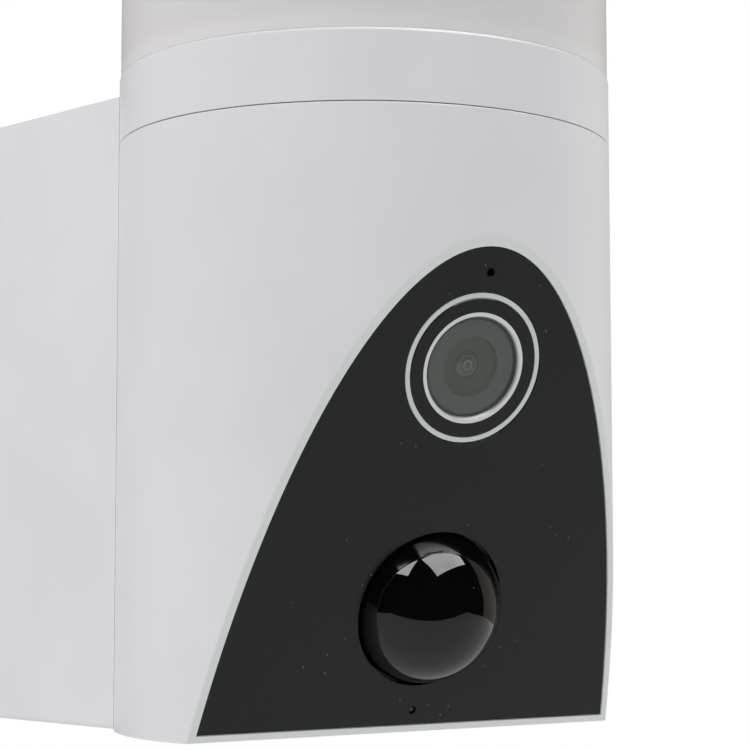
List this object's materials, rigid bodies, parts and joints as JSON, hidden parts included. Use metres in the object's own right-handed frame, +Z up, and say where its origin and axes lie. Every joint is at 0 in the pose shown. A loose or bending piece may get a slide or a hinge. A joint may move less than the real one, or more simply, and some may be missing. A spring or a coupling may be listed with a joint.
{
  "type": "floodlight security camera",
  "caption": "Wall-mounted cylinder light with an opal diffuser, a camera and a dome movement sensor in a slanted black front, on a box arm with a steel wall plate.",
  "frame": {"origin": "middle of the wall plate's back face, on the wall", "axes": "+Z up, +Y into the wall, so the front faces -Y; +X is to the right of someone facing the light"},
  "size_m": [0.126, 0.136, 0.2547],
  "materials": {
    "white_plastic": "satin, fine moulded grain",
    "black_panel": "satin black sheet",
    "black_plastic": "fine matt",
    "dome_plastic": "polished black, infrared-clear",
    "pale_ring": "satin",
    "opal_plastic": "opal, slightly frosted",
    "window_glass": "tinted, clear",
    "lens_glass": "coated",
    "filter_glass": "coated",
    "clear_plastic": "polished",
    "barrel_metal": "black anodised",
    "board": "solder-masked glass laminate",
    "white_board": "white solder mask on aluminium",
    "light_chip": "phosphor",
    "steel": "zinc plated",
    "plate_steel": "zinc plated sheet",
    "aluminium": "extruded, as drawn",
    "tin_can": "tinned",
    "rubber": "matt",
    "grey_plastic": "fine matt",
    "button_red": "matt",
    "wire_red": "extruded sleeve"
  },
  "bodies": {
    "housing": {"body_shell": "white_plastic", "body_seal": "rubber", "front_panel": "black_panel", "panel_gasket": "rubber", "lens_outer_ring": "pale_ring", "lens_bezel": "black_plastic", "window_ring": "pale_ring", "lens_window": "window_glass", "camera_barrel": "barrel_metal", "front_lens": "lens_glass", "lens_holder": "black_plastic", "image_sensor": "black_panel", "camera_board": "board", "camera_screws": "steel", "pir_dome": "dome_plastic", "pir_retainer": "black_plastic", "pir_retainer_screws": "steel", "pir_sensor": "tin_can", "pir_board": "board", "status_light_pipe": "clear_plastic", "mic_boot": "rubber", "mic_capsule": "tin_can", "speaker": "grey_plastic", "cover_pin": "steel", "service_well": "grey_plastic", "card_board": "board", "card_socket": "tin_can", "reset_switch": "grey_plastic", "chassis_plate": "grey_plastic", "chassis_screws": "steel", "main_board": "board", "board_screws": "steel", "processor_shield": "tin_can", "radio_module": "tin_can", "light_deck": "white_plastic", "deck_screws": "steel", "collar_ring": "white_plastic", "diffuser": "opal_plastic", "diffuser_seal": "rubber", "light_column": "aluminium", "column_screws": "steel", "light_boards": "white_board", "light_chips": "light_chip", "top_cap": "white_plastic", "arm_housing": "white_plastic", "arm_screws": "steel", "harness_gland": "rubber", "harness_wires": "wire_red", "driver_case": "grey_plastic", "driver_lid": "grey_plastic", "driver_board": "board", "wall_plate": "plate_steel", "plate_screws": "steel", "cable_grommet": "rubber"},
    "service_cover": {"service_cover": "white_plastic", "cover_seal": "rubber"},
    "reset_button": {"reset_button": "button_red"},
    "night_filter": {"filter_slide": "grey_plastic", "filter_glass": "filter_glass"},
    "speaker_cone": {"speaker_cone": "black_plastic"}
  },
  "joints": [
    {"name": "cover_hinge", "type": "hinge", "parent": "housing", "child": "service_cover", "pos_m": [0.022, -0.077, -0.0619], "axis": [-1, 0, 0], "range_deg": [0, 100]},
    {"name": "reset_press", "type": "slide", "parent": "housing", "child": "reset_button", "axis": [0, 0, 1], "range_m": [0, 0.001], "stiffness_N_per_m": 800, "springref_m": -0.0004},
    {"name": "filter_shift", "type": "slide", "parent": "housing", "child": "night_filter", "axis": [1, 0, 0], "range_m": [0, 0.007]},
    {"name": "cone_travel", "type": "slide", "parent": "housing", "child": "speaker_cone", "axis": [0, 0, 1], "range_m": [-0.0003, 0.0003], "stiffness_N_per_m": 1000}
  ]
}
